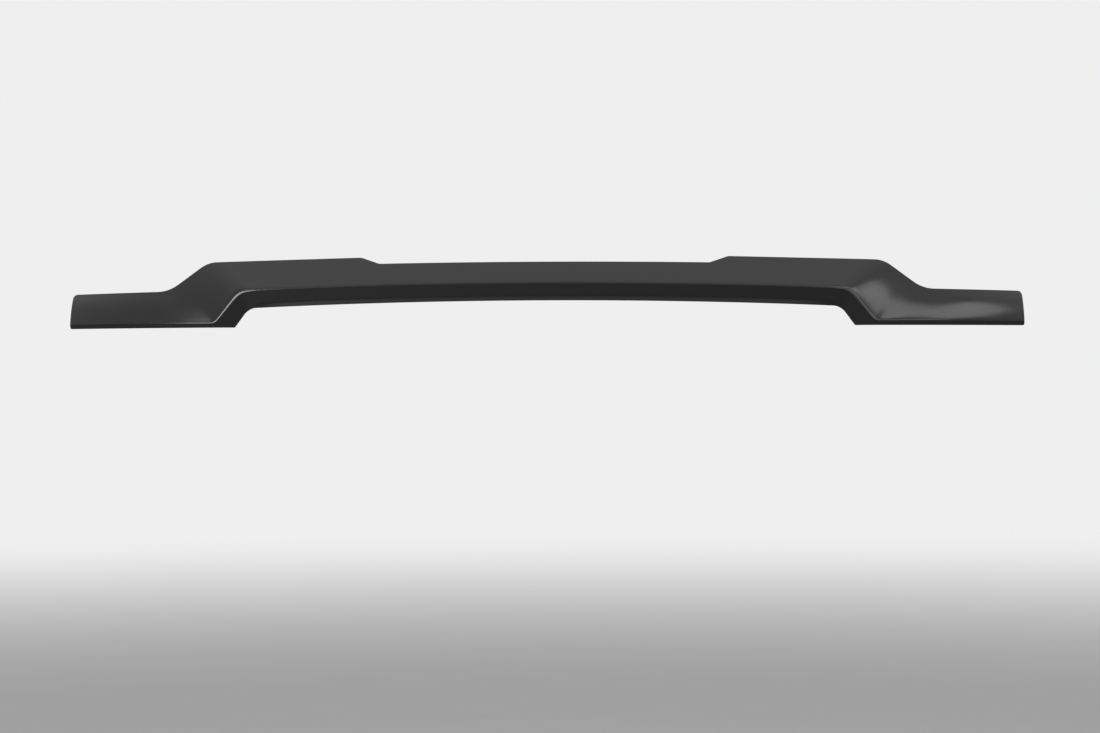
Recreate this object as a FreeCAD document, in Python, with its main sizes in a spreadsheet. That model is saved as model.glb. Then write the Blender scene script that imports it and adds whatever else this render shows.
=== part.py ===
import FreeCAD, Part
import math
import os

import Sketcher
from FreeCAD import Placement, Rotation, Vector

# Low wrap-around bug deflector: one formed sheet of plastic and the foam tape on its back.
# Millimetres and degrees. +X is to the right seen from the front, -Y is forwards, +Z is up.
# The drawing is laid out from the middle of the crease. The finished pieces are then moved
# so that the origin is the middle of the centre tape's bonded face.

SIZES = (
    # Plan view
    ("overall_width", 1760, "end to end"),
    ("nose_arc", 4500, "plan radius of the nose"),
    ("turn_lead", 4, "where the plan starts to turn back, before the crease's corner"),
    ("wing_arc", 700, "plan radius of the wings"),
    # Sheet and its section
    ("sheet_wall", 3, "thickness of the formed sheet"),
    ("face_slope", 36, "upper face above the horizontal"),
    ("nose_tuck", 20, "band under the crease, from upright"),
    ("wing_tuck", 30, "lower band of the wings, from upright"),
    ("crease_bend", 9, "each leg of the crease's rounding"),
    ("band_flat", 17, "crease to the end of the band's flat, seen from the front"),
    ("lip_start", 22.5, "crease to the lip, seen from the front"),
    ("lip_turn", 6, "each leg of the lip's rounding"),
    ("wing_run", 46, "depth of the wing face, front to back"),
    ("wing_crown", 7, "bulge of the wing face"),
    # Front view: crease
    ("crease_arc", 14000, "radius of the nose's crease"),
    ("wing_length", 331, "crease's corner to the end"),
    ("diagonal_slope", 53, "diagonal crease below the horizontal"),
    ("wing_drop", 70.5, "middle of the crease down to the wing's crease"),
    ("corner_bend", 36, "each leg of the crease corner's rounding"),
    ("shoulder_bend", 44, "the same at the shoulder, along the top"),
    ("foot_bend", 12, "each leg of the rounding where the diagonal meets the wing"),
    ("foot_spread", 30, "the same along the top"),
    # Front view: outline
    ("face_rise", 39.4, "crease up to the top edge, at the centre"),
    ("step_rise", 12.4, "top edge outside the step, above the edge inside it"),
    ("step_half", 299, "centre line to the foot of the step"),
    ("step_run", 34, "width of the step"),
    ("dome_arc", 21400, "radius of the top edge"),
    ("shoulder_out", 68.3, "crease's corner to the shoulder's corner"),
    ("shoulder_run", 70.4, "shoulder's corner to where the top edge levels out again"),
    ("wing_top", 10.5, "middle of the crease down to the wing's top edge, inner end"),
    ("wing_top_end", 13.2, "middle of the crease down to the wing's top edge, outer end"),
    ("band_drop", 31.6, "crease down to the lower edge"),
    ("wing_band", 7.1, "wing's crease down to its lower edge"),
    ("step_round", 16, "radius at the step"),
    ("shoulder_round", 50, "radius at the shoulder"),
    ("wing_round", 66, "radius where the top edge levels out"),
    ("end_round", 8, "radius of the upper end corner"),
    ("end_foot_round", 3, "radius of the lower end corner"),
    ("foot_round", 4, "radius of the outer lower corner of the nose"),
    ("corner_round", 31, "radius of the inner lower corner of the nose"),
    # Foam tape
    ("tape_width", 12.7, "foam tape along the upper edge, the wings and the ends"),
    ("band_tape_width", 9.5, "foam tape on the band"),
    ("tape_wall", 1.1, "thickness of the foam tape"),
    ("tape_clearance", 0.3, "left between the sheet and its tape"),
    ("tape_inset", 4, "sheet's edge to the tape"),
    ("tape_gap", 6, "between two lengths of tape"),
    ("tape_corner_gap", 24, "tape kept clear of a sharp change in the sheet"),
    ("upper_centre_length", 190, "centre length along the upper edge"),
    ("band_centre_length", 180, "centre length on the band"),
    ("band_tape_drop", 12.5, "crease down to the middle of the band's tape"),
    # Reach of the trimming tools, past the sheet
    ("trim_depth", 500, "length of the trimming prism"),
)

# Control net of the skin. Stations across are shares of the way from the centre line to where the
# crease's corner starts, and from the foot of the diagonal to the end. The last lies past the end.
NOSE_STATIONS = (0.0, 0.34, 0.64, 0.87)
WING_STATIONS = (0.20, 0.42, 0.66, 0.90, 1.10)
# Stations round the corner and down the diagonal: shares of its length along the top, of the crown
# and of the change in tuck. Their places along the crease come from the two roundings.
DIAGONAL_STATIONS = ((0.0, 0.25, 0.0), (0.33, 0.55, 0.3), (0.67, 0.8, 0.6), (1.0, 1.0, 1.0))
# Rows up the face: shares of the way from the crease to the top line, and of the crown.
FACE_ROWS = ((1.30, 0.0), (1.10, 0.0), (0.72, 1.0), (0.40, 1.0))
# Share of the crown where the crease's rounding ends.
CREASE_CROWN = 0.35
# Rows down the lip, in legs of its rounding. The last lies past the lower edge.
LIP_ROWS = (1, 2, 4)
# How far the lip turns upright at the centre, where the corner starts, and beyond.
LIP_FULL, LIP_FADING, LIP_NONE = 1.0, 0.6, 0.0
DEGREE = 3
# Shares of the diagonal's length between which its tape runs.
DIAGONAL_TAPE = (0.42, 0.88)
STRAIGHT_DOWN = (0, -1)

doc = FreeCAD.newDocument("bug_deflector")


def make_sheet():
    """Write the driving dimensions to the spreadsheet and return their values by name."""
    sheet = doc.addObject("Spreadsheet::Sheet", "Sizes")
    for row, (alias, value, meaning) in enumerate(SIZES, start=1):
        sheet.set("A%d" % row, meaning)
        sheet.set("B%d" % row, str(value))
        sheet.setAlias("B%d" % row, alias)
    doc.recompute()
    return {alias: float(sheet.get(alias)) for alias, _, _ in SIZES}


size = make_sheet()

# Distances from the centre line: crease's corner, shoulder, where the top edge levels out, and
# where the plan starts to turn back
CORNER_HALF = size["overall_width"] / 2 - size["wing_length"]
SHOULDER_HALF = CORNER_HALF + size["shoulder_out"]
WING_HALF = SHOULDER_HALF + size["shoulder_run"]
NOSE_HALF = CORNER_HALF - size["turn_lead"]


# Plan sweep and the lines seen from the front

def plan_sine(x):
    """Sine of the plan line's turn at a distance from the centre line."""
    if abs(x) <= NOSE_HALF:
        return abs(x) / size["nose_arc"]
    return NOSE_HALF / size["nose_arc"] + (abs(x) - NOSE_HALF) / size["wing_arc"]


def plan_depth(x):
    """How far the crease's plan line has swept back at a distance from the centre line."""
    reach = min(abs(x), NOSE_HALF)
    depth = size["nose_arc"] - math.sqrt(size["nose_arc"] ** 2 - reach ** 2)
    if abs(x) > NOSE_HALF:
        inner = math.cos(math.asin(plan_sine(NOSE_HALF)))
        outer = math.cos(math.asin(plan_sine(x)))
        depth += size["wing_arc"] * (inner - outer)
    return depth


def crease_line(x):
    """Height of the nose's crease."""
    return -x * x / (2 * size["crease_arc"])


def edge_line(x):
    """Height of the top edge inside the steps."""
    return size["face_rise"] - x * x / (2 * size["dome_arc"])


def top_line(x):
    """Height of the top edge outside the steps, carried on to any distance from the centre line."""
    return edge_line(x) + size["step_rise"]


def shoulder_line(x):
    """Height of the straight stretch of the top edge that falls from the shoulder to the wing."""
    top = top_line(SHOULDER_HALF)
    fall = (top + size["wing_top"]) / (WING_HALF - SHOULDER_HALF)
    return top - fall * (x - SHOULDER_HALF)


def wing_line(x):
    """Height of the wing's top edge."""
    fall = (size["wing_top_end"] - size["wing_top"]) / (size["overall_width"] / 2 - WING_HALF)
    return -size["wing_top"] - fall * (x - WING_HALF)


def nose_run(x):
    """Depth of the sloping face from the crease back to the top line."""
    return (top_line(x) - crease_line(x)) / math.tan(math.radians(size["face_slope"]))


def between(start, end, share):
    """Number a share of the way from start to end."""
    return start + (end - start) * share


def crease_corner():
    """Corner (x, z) where the nose's crease turns down the diagonal."""
    return CORNER_HALF, crease_line(CORNER_HALF)


def diagonal_foot():
    """Corner (x, z) where the diagonal crease meets the wing's crease."""
    x, z = crease_corner()
    return x + (z + size["wing_drop"]) / math.tan(math.radians(size["diagonal_slope"])), -size["wing_drop"]


# Outer skin, one cubic surface through the whole width

def net_column(crease, top, run, band, tuck, crown, lip):
    """Poles of one station, from above the top edge down past the lower edge.

    crease and top are (x, z) seen from the front, run the depth between them, band the way down
    from the crease, tuck its angle from upright, crown the bulge of the face and lip how far the
    lip turns upright.
    """
    foot = Vector(crease[0], plan_depth(crease[0]), crease[1])
    head = Vector(top[0], plan_depth(top[0]) + run, top[1])
    up = head - foot
    turn = math.asin(plan_sine(crease[0]))
    slope = math.atan2(up.z, run)
    bulge = Vector(math.sin(turn) * math.sin(slope), -math.cos(turn) * math.sin(slope), math.cos(slope))
    rows = [foot + up * share + bulge * (crown * lift) for share, lift in FACE_ROWS]
    rows.append(foot + Vector(up).normalize() * size["crease_bend"] + bulge * (crown * CREASE_CROWN))
    rows.append(foot)
    back = math.tan(math.radians(tuck))
    down = Vector(band[0], back, band[1])
    upright = Vector(band[0], back * (1 - lip), band[1])
    rows += [foot + down * size[drop] for drop in ("crease_bend", "band_flat", "lip_start")]
    lip_foot = rows[-1]
    rows += [lip_foot + upright * (size["lip_turn"] * legs) for legs in LIP_ROWS]
    return rows


def nose_columns():
    """Stations from the centre line to where the crease starts to turn down."""
    corner_start = CORNER_HALF - size["corner_bend"]
    shoulder_start = SHOULDER_HALF - size["shoulder_bend"]
    columns = []
    for share in NOSE_STATIONS + (1.0,):
        x = corner_start * share
        top_x = x * between(1.0, shoulder_start / corner_start, share)
        lip = LIP_FADING if share == 1.0 else LIP_FULL
        columns.append(net_column((x, crease_line(x)), (top_x, top_line(top_x)), nose_run(top_x),
                                  STRAIGHT_DOWN, size["nose_tuck"], 0, lip))
    return columns


def diagonal_columns():
    """Stations round the crease's corner, down the diagonal and into the wing."""
    slope = math.radians(size["diagonal_slope"])
    start, end = crease_corner(), diagonal_foot()
    length = math.hypot(end[0] - start[0], end[1] - start[1])
    shoulder_x, wing_x = SHOULDER_HALF, WING_HALF
    at_corner = (-math.tan(slope / 2), -1)
    square = (-math.sin(slope), -math.cos(slope))
    places = (0.0, size["corner_bend"] / length, 1 - size["foot_bend"] / length, 1.0)
    bands = (at_corner, square, square, at_corner)
    columns = []
    for place, band, (top_share, crown, change) in zip(places, bands, DIAGONAL_STATIONS):
        crease = (between(start[0], end[0], place), between(start[1], end[1], place))
        top_x = between(shoulder_x, wing_x, top_share)
        run = between(nose_run(shoulder_x), size["wing_run"], top_share)
        tuck = between(size["nose_tuck"], size["wing_tuck"], change)
        columns.append(net_column(crease, (top_x, shoulder_line(top_x)), run, band, tuck,
                                  size["wing_crown"] * crown, LIP_NONE))
    return columns


def wing_columns():
    """Stations from the foot of the diagonal out past the end of the wing."""
    foot_x, foot_z = diagonal_foot()
    end_x = size["overall_width"] / 2
    stations = [(foot_x + size["foot_bend"], WING_HALF + size["foot_spread"])]
    stations += [(between(foot_x, end_x, share), between(WING_HALF, end_x, share))
                 for share in WING_STATIONS]
    return [net_column((crease_x, foot_z), (top_x, wing_line(top_x)), size["wing_run"], STRAIGHT_DOWN,
                       size["wing_tuck"], size["wing_crown"], LIP_NONE) for crease_x, top_x in stations]


def clamped_knots(poles):
    """Evenly spaced knots and their multiplicities, clamped at both ends."""
    spans = poles - DEGREE
    counts = [DEGREE + 1] + [1] * (spans - 1) + [DEGREE + 1]
    return [float(knot) for knot in range(spans + 1)], counts


def make_skin():
    """Outer skin from its control net, mirrored about the centre line."""
    right = nose_columns() + diagonal_columns() + wing_columns()
    left = [[Vector(-pole.x, pole.y, pole.z) for pole in column] for column in right[:0:-1]]
    net = left + right
    across, across_counts = clamped_knots(len(net))
    down, down_counts = clamped_knots(len(net[0]))
    surface = Part.BSplineSurface()
    surface.buildFromPolesMultsKnots(net, across_counts, down_counts, across, down,
                                     False, False, DEGREE, DEGREE)
    feature = doc.addObject("Part::Feature", "OuterSkin")
    feature.Shape = surface.toShape()
    feature.Placement = Placement()
    return feature


skin = make_skin()


# Outline seen from the front: corners of the right-hand half from the top, each with its x, its z
# and the radius that rounds it

CORNER_X = "(Sizes.overall_width / 2 - Sizes.wing_length)"
SHOULDER_X = "(" + CORNER_X + " + Sizes.shoulder_out)"
LEVEL_X = "(" + SHOULDER_X + " + Sizes.shoulder_run)"
CORNER_Z = "(0 - " + CORNER_X + " ^ 2 / (2 * Sizes.crease_arc))"
LOWER_Z = "(0 - Sizes.wing_drop - Sizes.wing_band)"
HEAD_X = "(Sizes.step_half + Sizes.step_run)"
BAND_X = "(" + CORNER_X + " - Sizes.band_drop / sin(Sizes.diagonal_slope * 1deg))"
FALL = "tan(Sizes.diagonal_slope * 1deg)"
EDGE_Z = "Sizes.face_rise - {x} ^ 2 / (2 * Sizes.dome_arc)"

OUTLINE = (
    ("Sizes.step_half", EDGE_Z.format(x="Sizes.step_half"), "step_round"),
    (HEAD_X, EDGE_Z.format(x=HEAD_X) + " + Sizes.step_rise", "step_round"),
    (SHOULDER_X, EDGE_Z.format(x=SHOULDER_X) + " + Sizes.step_rise", "shoulder_round"),
    (LEVEL_X, "0 - Sizes.wing_top", "wing_round"),
    ("Sizes.overall_width / 2", "0 - Sizes.wing_top_end", "end_round"),
    ("Sizes.overall_width / 2", LOWER_Z, "end_foot_round"),
    (BAND_X + " + (" + CORNER_Z + " - " + LOWER_Z + ") / " + FALL, LOWER_Z, "foot_round"),
    (BAND_X + " + Sizes.band_drop / " + FALL, CORNER_Z + " - Sizes.band_drop", "corner_round"),
)
TOP_CROWN = "Sizes.face_rise"
LOWER_CROWN = "0 - Sizes.band_drop"


def fix_point(sketch, point, x, z):
    """Tie a construction point of the sketch to the expressions for its place."""
    for kind, formula, axis in (("DistanceX", x, -2), ("DistanceY", z, -1)):
        value = float(sketch.evalExpression(formula))
        if value == 0:
            sketch.addConstraint(Sketcher.Constraint("PointOnObject", point, 1, axis))
        elif value > 0:
            rule = sketch.addConstraint(Sketcher.Constraint(kind, -1, 1, point, 1, value))
            sketch.setExpression("Constraints[%d]" % rule, formula)
        else:
            rule = sketch.addConstraint(Sketcher.Constraint(kind, point, 1, -1, 1, -value))
            sketch.setExpression("Constraints[%d]" % rule, "0 - (" + formula + ")")


def arc_between(start, middle, end):
    """Anticlockwise arc through three points, and the numbers of its start and its end in a sketch."""
    circle = Part.Circle(start, middle, end)
    centre = circle.Center
    first, last = [math.atan2(point.y - centre.y, point.x - centre.x) for point in (start, end)]
    anticlockwise = (middle - start).cross(end - middle).z > 0
    if not anticlockwise:
        first, last = last, first
    if last < first:
        last += 2 * math.pi
    arc = Part.ArcOfCircle(Part.Circle(centre, Vector(0, 0, 1), circle.Radius), first, last)
    return arc, (1, 2) if anticlockwise else (2, 1)


def rounding(before, place, after, radius):
    """Start, middle and end of the arc that rounds one corner."""
    came = Vector(place - before).normalize()
    goes = Vector(after - place).normalize()
    half_turn = came.getAngle(goes) / 2
    leg = radius * math.tan(half_turn)
    inwards = Vector(goes - came).normalize()
    return place - came * leg, place + inwards * (radius / math.cos(half_turn) - radius), place + goes * leg


def make_outline():
    """Sketch of the trimmed outline: straight edges and two long arcs, rounded at every corner."""
    sketch = doc.addObject("Sketcher::SketchObject", "Outline")
    sketch.Placement = Placement(Vector(), Rotation(Vector(1, 0, 0), 90))
    corners = list(OUTLINE) + [("0 - (" + x + ")", z, bend) for x, z, bend in reversed(OUTLINE)]
    crowns = {len(OUTLINE) - 1: LOWER_CROWN, len(corners) - 1: TOP_CROWN}
    count = len(corners)
    places = [Vector(sketch.evalExpression(x), sketch.evalExpression(z), 0) for x, z, _ in corners]
    radii = [sketch.evalExpression("Sizes." + bend) for _, _, bend in corners]
    bends = [rounding(places[i - 1], places[i], places[(i + 1) % count], radii[i]) for i in range(count)]
    points = []
    for place, (x, z, _) in zip(places, corners):
        points.append(sketch.addGeometry(Part.Point(place), True))
        fix_point(sketch, points[-1], x, z)
    arcs = []
    for start, middle, end in bends:
        arc, ends = arc_between(start, middle, end)
        arcs.append((sketch.addGeometry(arc, False), ends))
    edges = []
    for index in range(count):
        start, end = bends[index][2], bends[(index + 1) % count][0]
        if index in crowns:
            crown = Vector(0, sketch.evalExpression(crowns[index]), 0)
            arc, ends = arc_between(start, crown, end)
            edge = sketch.addGeometry(arc, False)
            crown_point = sketch.addGeometry(Part.Point(crown), True)
            fix_point(sketch, crown_point, "0", crowns[index])
            sketch.addConstraint(Sketcher.Constraint("PointOnObject", crown_point, 1, edge))
        else:
            edge, ends = sketch.addGeometry(Part.LineSegment(start, end), False), (1, 2)
        edges.append((edge, ends))
    for index, (arc, (entry, leave)) in enumerate(arcs):
        before, (_, before_end) = edges[index - 1]
        after, (after_start, _) = edges[index]
        for edge in (before, after):
            sketch.addConstraint(Sketcher.Constraint("PointOnObject", points[index], 1, edge))
        sketch.addConstraint(Sketcher.Constraint("Tangent", before, before_end, arc, entry))
        sketch.addConstraint(Sketcher.Constraint("Tangent", arc, leave, after, after_start))
        rule = sketch.addConstraint(Sketcher.Constraint("Radius", arc, radii[index]))
        sketch.setExpression("Constraints[%d]" % rule, "Sizes." + corners[index][2])
    return sketch


outline = make_outline()


# Shell: the skin trimmed to the outline, then thickened inwards

def add_common(name, base, tool):
    """Common of two objects, as an object of the document."""
    common = doc.addObject("Part::Common", name)
    common.Base = base
    common.Tool = tool
    return common


def add_offset(name, source, distance, solid):
    """Surface offset towards the back by an expression, filled to a solid if asked."""
    offset = doc.addObject("Part::Offset", name)
    offset.Source = source
    offset.setExpression("Value", distance)
    offset.Mode = "Skin"
    offset.Join = "Arc"
    offset.Fill = solid
    return offset


def make_shell():
    """Formed sheet: the trimmed skin with the sheet's thickness behind it."""
    prism = doc.addObject("Part::Extrusion", "OutlinePrism")
    prism.Base = outline
    prism.DirMode = "Custom"
    prism.Dir = Vector(0, 1, 0)
    prism.Solid = True
    prism.setExpression("LengthFwd", "Sizes.trim_depth")
    prism.setExpression("LengthRev", "Sizes.trim_depth")
    trimmed = add_common("TrimmedSkin", skin, prism)
    shell = add_offset("Shell", trimmed, "Sizes.sheet_wall", True)
    shell.Label = "deflector_shell"
    return shell


shell = make_shell()


# Foam tape on the back: each length is ruled through cross-sections that stand on the sheet, so it
# follows the sheet along its run and is flat across its width

TAPE_STATIONS = (0, 0.25, 0.5, 0.75, 1)


def skin_point(x, z):
    """Point of the outer skin that is seen at x, z from the front."""
    sight = Part.Line(Vector(x, 0, z), Vector(x, 1, z))
    hit = sight.intersectCS(skin.Shape.Surface)[0][0]
    return Vector(hit.X, hit.Y, hit.Z)


def skin_normal(point):
    """Direction in which the skin at a point faces the back."""
    surface = skin.Shape.Surface
    return surface.normal(*surface.parameter(point))


def tape_seat(point):
    """Place behind the skin at a point where the tape's front face lies."""
    surface = skin.Shape.Surface
    foot = surface.value(*surface.parameter(point))
    return foot + skin_normal(foot) * (size["sheet_wall"] + size["tape_clearance"])


def add_section(name, point, along, shift, width):
    """Cross-section of a tape, square to its run, its middle moved down the skin by shift."""
    down = along.cross(skin_normal(point)).normalize()
    if down.z > 0:
        down = -down
    upper, centre, lower = [tape_seat(point + down * (shift + size[width] * share))
                            for share in (-0.5, 0, 0.5)]
    down = Vector(lower - upper).normalize()
    deep = along.cross(down).normalize()
    if deep.dot(skin_normal(point)) < 0:
        deep = -deep
    middle = (upper + lower) / 2
    middle += deep * max((centre - middle).dot(deep), 0)
    section = doc.addObject("Part::Plane", name)
    section.setExpression("Length", "Sizes." + width)
    section.setExpression("Width", "Sizes.tape_wall")
    section.Placement = Placement(middle - down * (size[width] / 2),
                                  Rotation(down, deep, down.cross(deep), "XYZ"))
    return section


def object_name(label):
    """Name of a document object for a node's label."""
    return "".join(word.capitalize() for word in label.split("_"))


def add_tape(label, start, end, shift, width):
    """One length of tape as a solid with a node of its own."""
    run = [skin_point(between(start[0], end[0], share), between(start[1], end[1], share))
           for share in TAPE_STATIONS]
    headings = [after - before for before, after in zip(run, run[2:])]
    headings.insert(0, run[1] * 4 - run[0] * 3 - run[2])
    headings.append(run[-1] * 3 - run[-2] * 4 + run[-3])
    key = object_name(label)
    tape = doc.addObject("Part::Loft", key)
    tape.Sections = [add_section("%sSection%d" % (key, index + 1), point, heading, shift, width)
                     for index, (point, heading) in enumerate(zip(run, headings))]
    tape.Solid = True
    tape.Ruled = True
    tape.Label = label
    return tape


def add_mirror(label, source):
    """The same length of tape on the other side of the centre line."""
    mirror = doc.addObject("Part::Mirroring", object_name(label))
    mirror.Source = source
    mirror.Normal = Vector(1, 0, 0)
    mirror.Base = Vector()
    mirror.Label = label
    return mirror


def split_run(names, start, end, line):
    """Equal lengths from start to end with the tape's gap between them, as (name, start, end)."""
    gap = size["tape_gap"]
    length = (end - start - gap * (len(names) - 1)) / len(names)
    runs = []
    for index, name in enumerate(names):
        x = start + (length + gap) * index
        runs.append((name, (x, line(x)), (x + length, line(x + length))))
    return runs


def centred(name, length, line):
    """One length across the centre line, as (name, start, end)."""
    return name, (-length / 2, line(length / 2)), (length / 2, line(length / 2))


def upper_tapes():
    """Lengths under the upper edge: their middle lines are moved down the skin afterwards."""
    gap = size["tape_gap"]
    half = size["upper_centre_length"] / 2
    shoulder_x, wing_x = SHOULDER_HALF, WING_HALF
    runs = [centred("upper_centre_tape", half * 2, edge_line)]
    runs += split_run(["upper_inner_tape"], half + gap, size["step_half"] - size["tape_inset"], edge_line)
    runs += split_run(["dome_inner_tape", "dome_outer_tape"], size["step_half"] + size["step_run"] + gap,
                      shoulder_x - size["tape_corner_gap"], top_line)
    runs += split_run(["shoulder_tape"], shoulder_x + gap, wing_x - gap, shoulder_line)
    runs += split_run(["wing_upper_inner_tape", "wing_upper_outer_tape"], wing_x + size["tape_corner_gap"],
                      wing_end(), wing_line)
    return runs


def wing_end():
    """Where the wing's tapes stop: two gaps short of the upright tape, which leans with the skin."""
    return size["overall_width"] / 2 - size["tape_inset"] - size["tape_width"] - 2 * size["tape_gap"]


def band_tapes():
    """Lengths on the back of the band."""
    drop = size["band_tape_drop"]
    half = size["band_centre_length"] / 2

    def line(x):
        return crease_line(x) - drop

    runs = [centred("band_centre_tape", half * 2, line)]
    runs += split_run(["band_inner_tape", "band_outer_tape"], half + size["tape_gap"],
                      CORNER_HALF - size["corner_bend"], line)
    slope = math.radians(size["diagonal_slope"])
    head, foot = crease_corner(), diagonal_foot()
    ends = [(between(head[0], foot[0], share) - math.sin(slope) * drop,
             between(head[1], foot[1], share) - math.cos(slope) * drop) for share in DIAGONAL_TAPE]
    return runs + [("diagonal_tape", ends[0], ends[1])]


def wing_tapes():
    """Lengths low on the back of the wing, and the upright one at its end."""
    foot_x, foot_z = diagonal_foot()
    low = foot_z + size["crease_bend"]
    start = foot_x + size["foot_spread"] + size["tape_corner_gap"]
    runs = split_run(["wing_lower_inner_tape", "wing_lower_outer_tape"], start, wing_end(),
                     lambda x: low + size["tape_width"] / 2)
    upright = size["overall_width"] / 2 - size["tape_inset"] - size["tape_width"] / 2
    return runs + [("end_tape", (upright, low), (upright, -size["wing_top_end"] - size["end_round"]))]


def make_tapes():
    """Every length of tape, the right-hand ones and their mirror images."""
    under_edge = size["tape_inset"] + size["tape_width"] / 2
    plans = [run + (under_edge, "tape_width") for run in upper_tapes()]
    plans += [run + (0, "band_tape_width") for run in band_tapes()]
    plans += [run + (0, "tape_width") for run in wing_tapes()]
    tapes = []
    for label, start, end, shift, width in plans:
        if "centre" in label:
            tapes.append(add_tape(label, start, end, shift, width))
        else:
            tape = add_tape("right_" + label, start, end, shift, width)
            tapes += [tape, add_mirror("left_" + label, tape)]
    return tapes


# Origin at the middle of the centre tape's bonded face

def seat_point():
    """Middle of the centre tape's bonded face, from the middle of the crease."""
    slope = math.radians(size["face_slope"])
    up = size["face_rise"] / math.sin(slope) - size["tape_inset"] - size["tape_width"] / 2
    deep = size["sheet_wall"] + size["tape_clearance"] + size["tape_wall"]
    face = Vector(0, math.cos(slope), math.sin(slope))
    return face * up + Vector(0, face.z, -face.y) * deep


pieces = [shell] + make_tapes()
doc.recompute()
for piece in pieces:
    if not piece.isDerivedFrom("Part::Mirroring"):
        piece.Placement = Placement(-seat_point(), Rotation())
doc.recompute()

for item in doc.Objects:
    if "Invalid" in item.State or "Error" in item.State:
        raise RuntimeError("%s failed: %s" % (item.Name, item.State))
for piece in pieces:
    if piece.Shape.isNull() or not piece.Shape.isValid() or not piece.Shape.Solids:
        raise RuntimeError("%s has no valid solid" % piece.Label)

os.makedirs("parts", exist_ok=True)
for piece in pieces:
    piece.Shape.exportStep("parts/%s.step" % piece.Label)
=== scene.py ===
"""Looks of a formed bug deflector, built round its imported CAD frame.

The sheet is drawn again as one smooth NURBS surface from the named sizes of the CAD source, with
the crease's rounding and the crown's spread tuned to the photograph's reflections. It is cut to
its outline, thickened and given flame-rounded rims. The foam tapes stay CAD nodes.
"""

import logging
import math
from dataclasses import dataclass, field
from enum import Enum

import bmesh
import bpy
from mathutils import Matrix, Vector


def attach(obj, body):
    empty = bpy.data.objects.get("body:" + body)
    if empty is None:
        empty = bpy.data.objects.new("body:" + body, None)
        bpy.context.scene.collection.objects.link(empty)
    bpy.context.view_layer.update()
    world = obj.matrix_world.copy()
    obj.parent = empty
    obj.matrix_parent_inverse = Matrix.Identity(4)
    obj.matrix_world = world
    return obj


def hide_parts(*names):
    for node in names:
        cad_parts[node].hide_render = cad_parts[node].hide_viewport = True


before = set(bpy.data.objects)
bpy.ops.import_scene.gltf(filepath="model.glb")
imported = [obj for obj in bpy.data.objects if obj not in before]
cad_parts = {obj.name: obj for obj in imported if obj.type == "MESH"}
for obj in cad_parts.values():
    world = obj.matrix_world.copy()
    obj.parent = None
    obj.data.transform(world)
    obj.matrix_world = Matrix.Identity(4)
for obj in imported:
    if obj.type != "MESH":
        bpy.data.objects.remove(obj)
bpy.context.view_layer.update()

MM = 0.001
BODY = "root"
SHELL_NODE = "deflector_shell"

logging.basicConfig(level=logging.INFO, format="%(name)s: %(message)s")
log = logging.getLogger("deflector")


# Small helpers


def deselect_all() -> None:
    """Leave nothing selected, because an operator acts on all that is."""
    if bpy.context.object and bpy.context.object.mode != "OBJECT":
        bpy.ops.object.mode_set(mode="OBJECT")
    bpy.ops.object.select_all(action="DESELECT")


def choose(piece: bpy.types.Object) -> None:
    """Select one object alone and make it active.

    Args:
        piece: The object.
    """
    deselect_all()
    piece.select_set(True)
    bpy.context.view_layer.objects.active = piece


def linear(colour: str) -> tuple[float, float, float, float]:
    """Linear colour from an sRGB hex value.

    Args:
        colour: Six hex digits after a hash.

    Returns:
        Red, green, blue and an alpha of 1.
    """
    parts = [int(colour[place:place + 2], 16) / 255 for place in (1, 3, 5)]
    red, green, blue = [part / 12.92 if part <= 0.04045 else ((part + 0.055) / 1.055) ** 2.4
                        for part in parts]
    return red, green, blue, 1.0


def add_node(tree: bpy.types.NodeTree, kind: str, settings: dict | None = None,
             **links: object) -> bpy.types.Node:
    """Add a node with its settings and links.

    Args:
        tree: Node tree that gets it.
        kind: Blender's name for the node's type.
        settings: Properties of the node, by name.
        **links: Values or output sockets by input name, with _ for a space, or by number as in i0.

    Returns:
        The new node.
    """
    node = tree.nodes.new(kind)
    for name, value in (settings or {}).items():
        setattr(node, name, value)
    for name, value in links.items():
        key = int(name[1:]) if name[0] == "i" and name[1:].isdigit() else name.replace("_", " ")
        if isinstance(value, bpy.types.NodeSocket):
            tree.links.new(value, node.inputs[key])
        else:
            node.inputs[key].default_value = value
    return node


def seen_rays(tree: bpy.types.NodeTree) -> bpy.types.NodeSocket:
    """Tell what is looked at from what is only lit.

    Args:
        tree: Node tree that gets the nodes.

    Returns:
        Socket that is 1 where the camera, a reflection or a transmission looks, and 0 for light.
    """
    path = add_node(tree, "ShaderNodeLightPath")
    first = add_node(tree, "ShaderNodeMath", {"operation": "MAXIMUM"}, i0=path.outputs["Is Camera Ray"],
                     i1=path.outputs["Is Glossy Ray"])
    both = add_node(tree, "ShaderNodeMath", {"operation": "MAXIMUM"}, i0=first.outputs["Value"],
                    i1=path.outputs["Is Transmission Ray"])
    return both.outputs["Value"]


def new_material(name: str) -> tuple[bpy.types.Material, bpy.types.NodeTree]:
    """Start a node material.

    Args:
        name: Name of the real material.

    Returns:
        The material and its empty tree.
    """
    material = bpy.data.materials.new(name)
    material.use_nodes = True
    material.node_tree.nodes.clear()
    return material, material.node_tree


def between(start: float, end: float, share: float) -> float:
    """Number a share of the way from start to end."""
    return start + (end - start) * share


# Finishes


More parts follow.
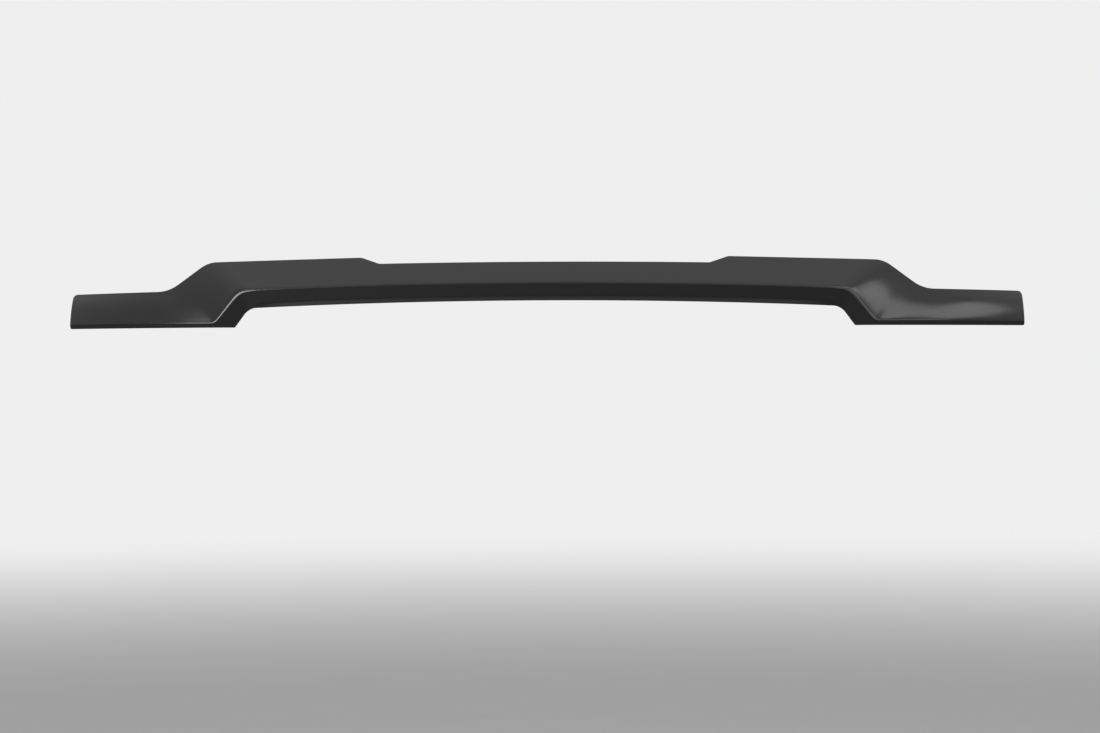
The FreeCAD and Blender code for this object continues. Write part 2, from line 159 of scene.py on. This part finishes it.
@dataclass(frozen=True)
class SatinPolymer:
    """Thermoformed black acrylic sheet with a satin face.

    The pigment goes right through, so colour hardly varies. Forming over a warm mould leaves the
    face smooth over centimetres and very finely grained, which spreads a highlight softly.
    """

    colour: str = "#0d0d0e"
    haze_colour: str = "#101011"
    roughness: float = 0.21
    roughness_spread: float = 0.02
    ior: float = 1.43
    grain_mm: float = 0.9
    grain_height_mm: float = 0.006
    grain_detail: float = 3.0
    grain_mix: float = 0.6
    haze_mm: float = 55.0
    haze_detail: float = 2.0

    def make(self) -> bpy.types.Material:
        """Make the finish.

        Returns:
            Its node material.
        """
        material, tree = new_material("satin_black_acrylic")
        place = add_node(tree, "ShaderNodeTexCoord").outputs["Object"]
        haze = add_node(tree, "ShaderNodeTexNoise", Vector=place, Scale=1 / (self.haze_mm * MM),
                        Detail=self.haze_detail)
        grain = add_node(tree, "ShaderNodeTexNoise", Vector=place, Scale=1 / (self.grain_mm * MM),
                         Detail=self.grain_detail, Roughness=self.grain_mix)
        colour = add_node(tree, "ShaderNodeMix", {"data_type": "RGBA"}, i0=haze.outputs["Fac"],
                          i6=linear(self.colour), i7=linear(self.haze_colour))
        spread = add_node(tree, "ShaderNodeMapRange", Value=haze.outputs["Fac"],
                          To_Min=self.roughness - self.roughness_spread,
                          To_Max=self.roughness + self.roughness_spread)
        bump = add_node(tree, "ShaderNodeBump", Height=grain.outputs["Fac"], Strength=1.0,
                        Distance=self.grain_height_mm * MM)
        shader = add_node(tree, "ShaderNodeBsdfPrincipled", Base_Color=colour.outputs[2],
                          Roughness=spread.outputs["Result"], IOR=self.ior,
                          Normal=bump.outputs["Normal"])
        add_node(tree, "ShaderNodeOutputMaterial", Surface=shader.outputs["BSDF"])
        return material


@dataclass(frozen=True)
class AcrylicFoam:
    """Closed-cell acrylic foam tape, slit from a roll and pressed on by hand.

    Dark grey and matt, with fine cells whose pits are painted darker as shade, and a random mottle of
    tone.
    """

    colour: str = "#3a3c3e"
    pit_shade_colour: str = "#242628"
    roughness: float = 0.85
    cell_mm: float = 1.2
    cell_depth_mm: float = 0.15
    cell_bump: float = 0.6
    mottle_mm: float = 7.2
    mottle_detail: float = 2.0
    shade_gain: float = 0.6

    def make(self) -> bpy.types.Material:
        """Make the finish.

        Returns:
            Its node material.
        """
        material, tree = new_material("acrylic_foam_tape")
        place = add_node(tree, "ShaderNodeTexCoord").outputs["Object"]
        cells = add_node(tree, "ShaderNodeTexVoronoi", {"feature": "F1"}, Vector=place,
                         Scale=1 / (self.cell_mm * MM))
        mottle = add_node(tree, "ShaderNodeTexNoise", Vector=place, Scale=1 / (self.mottle_mm * MM),
                          Detail=self.mottle_detail)
        # Painted shade: the colour is darker in the cell pits, where the bump sinks, mixed with a
        # random mottle of tone.
        pit_shade_and_mottle = add_node(tree, "ShaderNodeMath", {"operation": "ADD"}, i0=cells.outputs["Distance"],
                         i1=mottle.outputs["Fac"])
        shade = add_node(tree, "ShaderNodeMath", {"operation": "MULTIPLY"},
                         i0=pit_shade_and_mottle.outputs["Value"], i1=self.shade_gain)
        colour = add_node(tree, "ShaderNodeMix", {"data_type": "RGBA"}, i0=shade.outputs["Value"],
                          i6=linear(self.pit_shade_colour), i7=linear(self.colour))
        bump = add_node(tree, "ShaderNodeBump", Height=cells.outputs["Distance"],
                        Strength=self.cell_bump, Distance=self.cell_depth_mm * MM)
        shader = add_node(tree, "ShaderNodeBsdfPrincipled", Base_Color=colour.outputs[2],
                          Roughness=self.roughness, Normal=bump.outputs["Normal"])
        add_node(tree, "ShaderNodeOutputMaterial", Surface=shader.outputs["BSDF"])
        return material


@dataclass(frozen=True)
class StudioPaint:
    """Matt pale paint of the studio floor, rolled on, with a faint mottle.

    Far from the object it fades to the colour of the backdrop, so no horizon shows.
    """

    colour: str = "#c2c2c2"
    mottle_colour: str = "#bdbdbe"
    backdrop: str = "#efefef"
    roughness: float = 0.9
    mottle_mm: float = 240.0
    fade_start: float = 3.0
    fade_end: float = 12.0

    def make(self) -> bpy.types.Material:
        """Make the finish.

        Returns:
            Its node material.
        """
        material, tree = new_material("studio_floor_paint")
        place = add_node(tree, "ShaderNodeTexCoord").outputs["Object"]
        mottle = add_node(tree, "ShaderNodeTexNoise", Vector=place, Scale=1 / (self.mottle_mm * MM))
        colour = add_node(tree, "ShaderNodeMix", {"data_type": "RGBA"}, i0=mottle.outputs["Fac"],
                          i6=linear(self.colour), i7=linear(self.mottle_colour))
        paint = add_node(tree, "ShaderNodeBsdfPrincipled", Base_Color=colour.outputs[2],
                         Roughness=self.roughness)
        seen = add_node(tree, "ShaderNodeEmission", Color=linear(self.backdrop), Strength=1.0)
        reach = add_node(tree, "ShaderNodeVectorMath", {"operation": "LENGTH"}, i0=place)
        fade = add_node(tree, "ShaderNodeMapRange", {"interpolation_type": "SMOOTHSTEP"},
                        Value=reach.outputs["Value"], From_Min=self.fade_start, From_Max=self.fade_end)
        share = add_node(tree, "ShaderNodeMath", {"operation": "MULTIPLY"}, i0=fade.outputs["Result"],
                         i1=seen_rays(tree))
        mixed = add_node(tree, "ShaderNodeMixShader", i0=share.outputs["Value"],
                         i1=paint.outputs["BSDF"], i2=seen.outputs["Emission"])
        add_node(tree, "ShaderNodeOutputMaterial", Surface=mixed.outputs["Shader"])
        return material


# Formed sheet


class LipTurn(Enum):
    """How far the lip under the band turns upright."""

    FULL = 1.0
    FADING = 0.6
    NONE = 0.0


class CutSide(Enum):
    """Which mesh a face comes from while the skin is cut, as the number of its material slot."""

    SKIN = 0
    WALL = 1


@dataclass
class FormedSheet:
    """The sheet itself: sloping face, crease, tucked band with its lip, and two crowned wings.

    Lengths are millimetres and angles degrees, named as in the CAD source. x runs to the right
    seen from the front, and heights are from the middle of the crease. The bends, the crown and
    the diagonal's stations are this script's own, set by the reflections in the photograph.
    """

    overall_width: float = 1760
    nose_arc: float = 4500
    turn_lead: float = 4
    wing_arc: float = 700
    sheet_wall: float = 3
    face_slope: float = 36
    nose_tuck: float = 20
    wing_tuck: float = 30
    crease_bend: float = 5
    diagonal_bend: float = 20
    wing_bend: float = 4
    band_flat: float = 17
    lip_start: float = 22.5
    lip_turn: float = 6
    wing_run: float = 46
    wing_crown: float = 7
    crease_arc: float = 14000
    wing_length: float = 331
    diagonal_slope: float = 53
    wing_drop: float = 70.5
    corner_bend: float = 24
    shoulder_bend: float = 44
    foot_bend: float = 12
    foot_spread: float = 30
    face_rise: float = 39.4
    step_rise: float = 12.4
    step_half: float = 299
    step_run: float = 34
    dome_arc: float = 21400
    shoulder_out: float = 68.3
    shoulder_run: float = 70.4
    wing_top: float = 10.5
    wing_top_end: float = 13.2
    band_drop: float = 31.6
    wing_band: float = 7.1
    step_round: float = 16
    shoulder_round: float = 50
    wing_round: float = 66
    end_round: float = 8
    end_foot_round: float = 3
    foot_round: float = 4
    corner_round: float = 31
    tape_width: float = 12.7
    tape_wall: float = 1.1
    tape_clearance: float = 0.3
    tape_inset: float = 4
    # Stations of the control net, as shares of the nose's and the wing's width
    nose_stations: tuple[float, ...] = (0.0, 0.34, 0.64, 0.87)
    wing_stations: tuple[float, ...] = (0.20, 0.42, 0.66, 0.90, 1.10)
    # Stations round the diagonal: share of the way to the wing along the top, of its crown and
    # of its tuck
    diagonal_stations: tuple[tuple[float, float, float], ...] = (
        (0.0, 0.0, 0.0), (0.33, 0.1, 0.3), (0.67, 0.5, 0.6), (1.0, 0.9, 1.0))
    # Rows on the face, top one first: share of its height and share of the crown
    face_rows: tuple[tuple[float, float], ...] = ((1.30, 0.0), (1.10, 0.0), (0.72, 1.0), (0.40, 1.0))
    crease_crown: float = 0.35
    # Rows past the lip's start, in lengths of its turn
    lip_rows: tuple[int, ...] = (1, 2, 4)
    surface_order: int = 4
    steps_across: int = 12
    steps_down: int = 10
    cutter_reach: float = 400
    weld: float = 0.02
    rim_round: float = 0.9
    rim_steps: int = 3
    rim_angle: float = 55
    finish: SatinPolymer = field(default_factory=SatinPolymer)

    # Distances from the centre line

    @property
    def corner_half(self) -> float:
        """Crease's corner."""
        return self.overall_width / 2 - self.wing_length

    @property
    def shoulder_half(self) -> float:
        """Shoulder of the top edge."""
        return self.corner_half + self.shoulder_out

    @property
    def wing_half(self) -> float:
        """Where the top edge levels out."""
        return self.shoulder_half + self.shoulder_run

    @property
    def nose_half(self) -> float:
        """Where the plan starts to turn back."""
        return self.corner_half - self.turn_lead

    # Lines seen from above and from the front

    def plan_sine(self, x: float) -> float:
        """Turn of the plan line.

        Args:
            x: Distance from the centre line, to either side.

        Returns:
            Sine of its turn there.
        """
        if abs(x) <= self.nose_half:
            return abs(x) / self.nose_arc
        return self.nose_half / self.nose_arc + (abs(x) - self.nose_half) / self.wing_arc

    def plan_depth(self, x: float) -> float:
        """Sweep of the crease's plan line.

        Args:
            x: Distance from the centre line, to either side.

        Returns:
            How far it has swept back there.
        """
        reach = min(abs(x), self.nose_half)
        pit_shade_and_mottle = self.nose_arc - math.sqrt(self.nose_arc ** 2 - reach ** 2)
        if abs(x) > self.nose_half:
            inner = math.cos(math.asin(self.plan_sine(self.nose_half)))
            outer = math.cos(math.asin(self.plan_sine(x)))
            pit_shade_and_mottle += self.wing_arc * (inner - outer)
        return pit_shade_and_mottle

    def crease_line(self, x: float) -> float:
        """Height of the nose's crease."""
        return -x * x / (2 * self.crease_arc)

    def top_line(self, x: float) -> float:
        """Height of the top edge outside the steps."""
        return self.face_rise - x * x / (2 * self.dome_arc) + self.step_rise

    def shoulder_line(self, x: float) -> float:
        """Straight line under the top edge's S-curve, from the shoulder down to the wing.

        Args:
            x: Distance from the centre line.

        Returns:
            Its height there.
        """
        top = self.top_line(self.shoulder_half)
        fall = (top + self.wing_top) / (self.wing_half - self.shoulder_half)
        return top - fall * (x - self.shoulder_half)

    def wing_line(self, x: float) -> float:
        """Height of the wing's top edge."""
        fall = (self.wing_top_end - self.wing_top) / (self.overall_width / 2 - self.wing_half)
        return -self.wing_top - fall * (x - self.wing_half)

    def nose_run(self, x: float) -> float:
        """Depth of the sloping face from the crease back to the top line."""
        return (self.top_line(x) - self.crease_line(x)) / math.tan(math.radians(self.face_slope))

    def crease_corner(self) -> tuple[float, float]:
        """Corner (x, z) where the nose's crease turns down the diagonal."""
        return self.corner_half, self.crease_line(self.corner_half)

    def diagonal_foot(self) -> tuple[float, float]:
        """Corner (x, z) where the diagonal crease meets the wing's crease."""
        x, z = self.crease_corner()
        return x + (z + self.wing_drop) / math.tan(math.radians(self.diagonal_slope)), -self.wing_drop

    def seat(self) -> Vector:
        """Find the object's origin.

        Returns:
            Middle of the centre tape's bonded face, from the middle of the crease.
        """
        slope = math.radians(self.face_slope)
        up = self.face_rise / math.sin(slope) - self.tape_inset - self.tape_width / 2
        deep = self.sheet_wall + self.tape_clearance + self.tape_wall
        face = Vector((0, math.cos(slope), math.sin(slope)))
        return face * up + Vector((0, face.z, -face.y)) * deep

    # Control net

    def column(self, crease: tuple[float, float], top: tuple[float, float], run: float,
               band: tuple[float, float], tuck: float, bend: float, crown: float,
               lip: LipTurn) -> list[Vector]:
        """Poles of one station, from above the top edge down past the lower edge.

        Args:
            crease: x and z of the crease seen from the front.
            top: x and z of the top line seen from the front.
            run: Depth between them.
            band: Way down from the crease, seen from the front.
            tuck: Angle of the band from upright.
            bend: Each leg of the crease's rounding.
            crown: Bulge of the face.
            lip: How far the lip turns upright.

        Returns:
            The poles in millimetres, from the middle of the crease.
        """
        foot = Vector((crease[0], self.plan_depth(crease[0]), crease[1]))
        head = Vector((top[0], self.plan_depth(top[0]) + run, top[1]))
        up = head - foot
        turn = math.asin(self.plan_sine(crease[0]))
        slope = math.atan2(up.z, run)
        bulge = Vector((math.sin(turn) * math.sin(slope),
                        -math.cos(turn) * math.sin(slope),
                        math.cos(slope)))
        rows = [foot + up * share + bulge * (crown * lift) for share, lift in self.face_rows]
        rows.append(foot + up.normalized() * bend + bulge * (crown * self.crease_crown))
        rows.append(foot)
        back = math.tan(math.radians(tuck))
        down = Vector((band[0], back, band[1]))
        upright = Vector((band[0], back * (1 - lip.value), band[1]))
        rows += [foot + down * drop for drop in (bend, self.band_flat, self.lip_start)]
        lip_foot = rows[-1]
        rows += [lip_foot + upright * (self.lip_turn * legs) for legs in self.lip_rows]
        return rows

    def nose_columns(self) -> list[list[Vector]]:
        """Lay out the stations from the centre line to where the crease starts to turn down.

        Returns:
            Their columns of poles.
        """
        corner_start = self.corner_half - self.corner_bend
        shoulder_start = self.shoulder_half - self.shoulder_bend
        columns = []
        for share in self.nose_stations + (1.0,):
            x = corner_start * share
            top_x = x * between(1.0, shoulder_start / corner_start, share)
            lip = LipTurn.FADING if share == 1.0 else LipTurn.FULL
            crease, top = (x, self.crease_line(x)), (top_x, self.top_line(top_x))
            columns.append(self.column(crease, top, self.nose_run(top_x), (0, -1), self.nose_tuck,
                                       self.crease_bend, 0, lip))
        return columns

    def diagonal_columns(self) -> list[list[Vector]]:
        """Lay out the stations round the crease's corner, down the diagonal and into the wing.

        Returns:
            Their columns of poles.
        """
        slope = math.radians(self.diagonal_slope)
        start, end = self.crease_corner(), self.diagonal_foot()
        length = math.hypot(end[0] - start[0], end[1] - start[1])
        at_corner = (-math.tan(slope / 2), -1)
        square = (-math.sin(slope), -math.cos(slope))
        places = (0.0, self.corner_bend / length, 1 - self.foot_bend / length, 1.0)
        bands = (at_corner, square, square, at_corner)
        columns = []
        for place, band, (top_share, crown, change) in zip(places, bands, self.diagonal_stations):
            crease = (between(start[0], end[0], place), between(start[1], end[1], place))
            top_x = between(self.shoulder_half, self.wing_half, top_share)
            run = between(self.nose_run(self.shoulder_half), self.wing_run, top_share)
            tuck = between(self.nose_tuck, self.wing_tuck, change)
            bend = between(self.diagonal_bend, self.wing_bend, place)
            columns.append(self.column(crease, (top_x, self.shoulder_line(top_x)), run, band, tuck,
                                       bend, self.wing_crown * crown, LipTurn.NONE))
        return columns

    def wing_columns(self) -> list[list[Vector]]:
        """Lay out the stations from the foot of the diagonal out past the end of the wing.

        Returns:
            Their columns of poles.
        """
        foot_x, foot_z = self.diagonal_foot()
        end_x = self.overall_width / 2
        stations = [(foot_x + self.foot_bend, self.wing_half + self.foot_spread)]
        stations += [(between(foot_x, end_x, share), between(self.wing_half, end_x, share))
                     for share in self.wing_stations]
        return [self.column((crease_x, foot_z), (top_x, self.wing_line(top_x)), self.wing_run, (0, -1),
                            self.wing_tuck, self.wing_bend, self.wing_crown, LipTurn.NONE)
                for crease_x, top_x in stations]

    def net(self) -> list[list[Vector]]:
        """Lay out the whole control net.

        Returns:
            Every column of poles, from the left end to the right end.
        """
        right = self.nose_columns() + self.diagonal_columns() + self.wing_columns()
        left = [[Vector((-pole.x, pole.y, pole.z)) for pole in column] for column in right[:0:-1]]
        return left + right

    # Outline seen from the front

    def corners(self) -> list[tuple[Vector, float]]:
        """Place the corners of the outline's right half.

        Returns:
            The corners (x, z) from the top down, each with its rounding.
        """
        corner_x, corner_z = self.crease_corner()
        slope = math.radians(self.diagonal_slope)
        head_x = self.step_half + self.step_run
        low = -self.wing_drop - self.wing_band
        band_x = corner_x - self.band_drop / math.sin(slope)
        foot_x = band_x + (corner_z - low) / math.tan(slope)
        turn_x = band_x + self.band_drop / math.tan(slope)
        places = [
            (self.step_half, self.top_line(self.step_half) - self.step_rise, self.step_round),
            (head_x, self.top_line(head_x), self.step_round),
            (self.shoulder_half, self.top_line(self.shoulder_half), self.shoulder_round),
            (self.wing_half, -self.wing_top, self.wing_round),
            (self.overall_width / 2, -self.wing_top_end, self.end_round),
            (self.overall_width / 2, low, self.end_foot_round),
            (foot_x, low, self.foot_round),
            (turn_x, corner_z - self.band_drop, self.corner_round),
        ]
        return [(Vector((x, z)), radius) for x, z, radius in places]

    @staticmethod
    def rounded(before: Vector, place: Vector, after: Vector, radius: float,
                steps: int = 14) -> list[Vector]:
        """Points round one corner of the outline.

        Args:
            before: Corner before it.
            place: The corner.
            after: Corner after it.
            radius: Radius of its rounding.
            steps: Straight pieces that make the arc.

        Returns:
            Points from the arc's start to its end.
        """
        came = (place - before).normalized()
        goes = (after - place).normalized()
        half_turn = came.angle(goes) / 2
        inwards = (goes - came).normalized()
        centre = place + inwards * (radius / math.cos(half_turn))
        spokes = [place - came * (radius * math.tan(half_turn)) - centre,
                  place + goes * (radius * math.tan(half_turn)) - centre]
        points = []
        for step in range(steps + 1):
            spoke = spokes[0].lerp(spokes[1], step / steps).normalized()
            points.append(centre + spoke * radius)
        return points

    def outline(self) -> list[Vector]:
        """Draw the closed outline.

        Returns:
            Its points (x, z), clockwise from the step on the right of the top edge.
        """
        right = self.corners()
        left = [(Vector((-place.x, place.y)), radius) for place, radius in reversed(right)]
        corners = right + left
        count = len(corners)
        loop: list[Vector] = []
        for index, (place, radius) in enumerate(corners):
            before, after = corners[index - 1][0], corners[(index + 1) % count][0]
            loop += self.rounded(before, place, after, radius)
            if index == len(right) - 1:
                loop += self.crown(loop[-1], -self.band_drop)
        return loop + self.crown(loop[-1], self.face_rise)

    @staticmethod
    def crown(start: Vector, height: float, steps: int = 40) -> list[Vector]:
        """Points inside a long arc that is even about the centre line.

        Args:
            start: Where it starts; it ends at the mirror image of that place.
            height: Its height at the centre line.
            steps: Straight pieces that make the arc.

        Returns:
            The points between its ends.
        """
        points = []
        for step in range(1, steps):
            x = between(start.x, -start.x, step / steps)
            points.append(Vector((x, height + (start.y - height) * (x / start.x) ** 2)))
        return points

    # Building

    def draw_skin(self) -> bpy.types.Object:
        """Skin one NURBS surface over the stations and make it a mesh.

        Returns:
            The outer skin, larger all round than the outline.
        """
        columns = self.net()
        seat = self.seat()
        data = bpy.data.curves.new("formed_skin", "SURFACE")
        data.dimensions = "3D"
        for column in columns:
            spline = data.splines.new("NURBS")
            spline.points.add(len(column) - 1)
            for point, pole in zip(spline.points, column):
                point.co = (*((pole - seat) * MM), 1.0)
                point.select = True
        skin = bpy.data.objects.new("formed_skin", data)
        bpy.context.scene.collection.objects.link(skin)
        choose(skin)
        bpy.ops.object.mode_set(mode="EDIT")
        bpy.ops.curve.select_all(action="SELECT")
        bpy.ops.curve.make_segment()
        bpy.ops.object.mode_set(mode="OBJECT")
        surface = data.splines[0]
        surface.order_u = self.surface_order
        surface.order_v = self.surface_order
        surface.use_endpoint_u = True
        surface.use_endpoint_v = True
        across = self.steps_across
        down = self.steps_down
        if surface.point_count_u != len(columns):
            across, down = down, across
        surface.resolution_u = across
        surface.resolution_v = down
        log.info("skin: %d by %d poles in %d surface", surface.point_count_u, surface.point_count_v,
                 len(data.splines))
        bpy.ops.object.convert(target="MESH")
        return bpy.context.object

    def draw_cutter(self) -> bpy.types.Object:
        """Draw a wall along the outline, deep enough to pass right through the skin.

        Returns:
            The wall, which cuts the skin.
        """
        seat = self.seat()
        data = bpy.data.curves.new("outline_wall", "CURVE")
        data.dimensions = "2D"
        data.fill_mode = "NONE"
        data.extrude = self.cutter_reach * MM
        spline = data.splines.new("POLY")
        loop = self.outline()
        spline.points.add(len(loop) - 1)
        for point, place in zip(spline.points, loop):
            point.co = ((place.x - seat.x) * MM, (place.y - seat.z) * MM, 0.0, 1.0)
        spline.use_cyclic_u = True
        wall = bpy.data.objects.new("outline_wall", data)
        wall.matrix_world = Matrix.Rotation(math.radians(90), 4, "X")
        bpy.context.scene.collection.objects.link(wall)
        choose(wall)
        bpy.ops.object.convert(target="MESH")
        wall = bpy.context.object
        bpy.ops.object.transform_apply(location=True, rotation=True, scale=True)
        return wall

    @staticmethod
    def inside(loop: list[Vector], x: float, z: float) -> bool:
        """Tell on which side of the outline a place lies, seen from the front.

        Args:
            loop: The closed outline's points.
            x: The place's distance to the right.
            z: Its height.

        Returns:
            Whether it lies inside.
        """
        found = False
        for start, end in zip(loop, loop[1:] + loop[:1]):
            if (start.y > z) != (end.y > z):
                if x < start.x + (z - start.y) / (end.y - start.y) * (end.x - start.x):
                    found = not found
        return found

    def trim(self, skin: bpy.types.Object, wall: bpy.types.Object) -> bpy.types.Object:
        """Cut the skin along the wall, and keep what lies inside it.

        Args:
            skin: The outer skin.
            wall: The wall along the outline, which is used up.

        Returns:
            The trimmed skin, facing forwards and with no material.
        """
        for side in CutSide:
            material = bpy.data.materials.new(f"{side.name.lower()}_side")
            skin.data.materials.append(material)
            wall.data.materials.append(material)
        for piece, side in ((skin, CutSide.SKIN), (wall, CutSide.WALL)):
            for polygon in piece.data.polygons:
                polygon.material_index = side.value
        choose(skin)
        wall.select_set(True)
        bpy.ops.object.join()
        bpy.ops.object.mode_set(mode="EDIT")
        bpy.ops.mesh.select_all(action="DESELECT")
        skin.active_material_index = CutSide.WALL.value
        bpy.ops.object.material_slot_select()
        bpy.ops.mesh.intersect(mode="SELECT_UNSELECT", separate_mode="CUT", solver="EXACT")
        bpy.ops.object.mode_set(mode="OBJECT")
        loop = self.outline()
        seat = self.seat()
        mesh = bmesh.new()
        mesh.from_mesh(skin.data)
        gone = []
        for face in mesh.faces:
            middle = face.calc_center_median() / MM + seat
            from_wall = face.material_index == CutSide.WALL.value
            if from_wall or not self.inside(loop, middle.x, middle.z):
                gone.append(face)
        bmesh.ops.delete(mesh, geom=gone, context="FACES")
        bmesh.ops.remove_doubles(mesh, verts=mesh.verts, dist=self.weld * MM)
        bmesh.ops.dissolve_degenerate(mesh, edges=mesh.edges, dist=self.weld * MM)
        bmesh.ops.recalc_face_normals(mesh, faces=mesh.faces)
        facing_back = sum(face.normal.y * face.calc_area() for face in mesh.faces) > 0
        if facing_back:
            bmesh.ops.reverse_faces(mesh, faces=mesh.faces)
        mesh.to_mesh(skin.data)
        mesh.free()
        skin.data.materials.clear()
        return skin

    def build(self) -> bpy.types.Object:
        """Make the whole sheet.

        Returns:
            It, finished and in its place.
        """
        sheet = self.trim(self.draw_skin(), self.draw_cutter())
        sheet.name = "formed_sheet"
        choose(sheet)
        wall = sheet.modifiers.new("wall", "SOLIDIFY")
        wall.thickness = self.sheet_wall * MM
        wall.offset = -1
        wall.use_even_offset = True
        wall.use_rim = True
        bpy.ops.object.modifier_apply(modifier="wall")
        rims = sheet.modifiers.new("rims", "BEVEL")
        rims.width = self.rim_round * MM
        rims.segments = self.rim_steps
        rims.limit_method = "ANGLE"
        rims.angle_limit = math.radians(self.rim_angle)
        bpy.ops.object.modifier_apply(modifier="rims")
        bpy.ops.object.shade_smooth()
        sheet.data.materials.append(self.finish.make())
        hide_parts(SHELL_NODE)
        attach(sheet, BODY)
        log.info("sheet: %d faces", len(sheet.data.polygons))
        return sheet


# Foam tape


@dataclass
class FoamTapes:
    """Lengths of tape on the sheet's back, which stay the CAD's own nodes."""

    finish: AcrylicFoam = field(default_factory=AcrylicFoam)

    def build(self) -> None:
        """Dress every length."""
        foam = self.finish.make()
        for name, node in sorted(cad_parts.items()):
            if name.endswith("_tape"):
                for slot in node.material_slots:
                    slot.material = foam
                log.info("tape: %s", name)


# Studio


@dataclass(frozen=True)
class Softbox:
    """One soft area lamp that faces the middle of the part.

    Attributes:
        name: What it lights.
        side: Degrees round from the front, to the right.
        height: Degrees above the horizontal.
        distance: Metres from the part.
        size: Width and height in metres.
        brightness: How bright its face is, where 1 is white.
    """

    name: str
    side: float
    height: float
    distance: float
    size: tuple[float, float]
    brightness: float

    def hang(self) -> None:
        """Add the lamp to the scene."""
        data = bpy.data.lights.new(self.name, "AREA")
        data.shape = "RECTANGLE"
        data.size, data.size_y = self.size
        data.energy = self.brightness * math.pi * self.size[0] * self.size[1]
        side, height = math.radians(self.side), math.radians(self.height)
        away = Vector((math.sin(side) * math.cos(height),
                       -math.cos(side) * math.cos(height),
                       math.sin(height)))
        lamp = bpy.data.objects.new(self.name, data)
        lamp.location = away * self.distance
        lamp.rotation_euler = (-away).to_track_quat("-Z", "Y").to_euler()
        bpy.context.scene.collection.objects.link(lamp)


@dataclass
class Studio:
    """Floor, world, lamps and the camera of the photograph's view."""

    floor_drop: float = 1.15
    floor_size: float = 60.0
    world_colour: str = "#efefef"
    world_strength: float = 0.6
    lamps: tuple[Softbox, ...] = (
        Softbox("right_softbox", 60, 50, 3.0, (1.0, 1.1), 3.2),
        Softbox("right_low_softbox", 78, 33, 3.0, (1.2, 0.8), 3.0),
        Softbox("right_edge_softbox", 48, 17, 3.0, (1.4, 0.8), 2.7),
        Softbox("left_softbox", -50, 47, 3.0, (1.0, 1.3), 1.9),
        Softbox("left_strip", -42, 7, 3.0, (1.0, 0.9), 14.0),
    )
    camera_place: tuple[float, float, float] = (0.1242, -5.4469, -0.1798)
    camera_yaw: float = 1.2
    camera_roll: float = -0.22
    camera_lens: float = 98.87
    camera_sensor: float = 36.0
    finish: StudioPaint = field(default_factory=StudioPaint)

    def lay_floor(self) -> None:
        """Pale floor, as far below the part as the ground is when it is fitted."""
        deselect_all()
        bpy.ops.mesh.primitive_plane_add(size=self.floor_size, location=(0, 0, -self.floor_drop))
        floor = bpy.context.object
        floor.name = "studio_floor"
        floor.data.materials.append(self.finish.make())

    def light_world(self) -> None:
        """Pale surroundings: nearly white to the camera and in reflections, softer as a light."""
        world = bpy.data.worlds.new("studio_air")
        bpy.context.scene.world = world
        world.use_nodes = True
        tree = world.node_tree
        tree.nodes.clear()
        lit = add_node(tree, "ShaderNodeBackground", Color=linear(self.world_colour),
                       Strength=self.world_strength)
        seen = add_node(tree, "ShaderNodeBackground", Color=linear(self.world_colour), Strength=1.0)
        mixed = add_node(tree, "ShaderNodeMixShader", i0=seen_rays(tree),
                         i1=lit.outputs["Background"], i2=seen.outputs["Background"])
        add_node(tree, "ShaderNodeOutputWorld", Surface=mixed.outputs["Shader"])

    def place_camera(self) -> None:
        """Level camera in front of the part, a little to the right of its centre line."""
        data = bpy.data.cameras.new("front_camera")
        data.lens = self.camera_lens
        data.sensor_width = self.camera_sensor
        camera = bpy.data.objects.new("front_camera", data)
        yaw, roll = math.radians(self.camera_yaw), math.radians(self.camera_roll)
        turn = (Matrix.Rotation(yaw, 4, "Z") @ Matrix.Rotation(math.radians(90), 4, "X")
                @ Matrix.Rotation(roll, 4, "Z"))
        camera.matrix_world = Matrix.Translation(self.camera_place) @ turn
        bpy.context.scene.collection.objects.link(camera)
        bpy.context.scene.camera = camera

    def build(self) -> None:
        """Whole studio."""
        self.lay_floor()
        self.light_world()
        for lamp in self.lamps:
            lamp.hang()
        self.place_camera()
        bpy.context.scene.view_settings.view_transform = "Standard"


def main() -> None:
    """Build the part and its studio in order."""
    FormedSheet().build()
    FoamTapes().build()
    Studio().build()


if __name__ == "__main__":
    main()
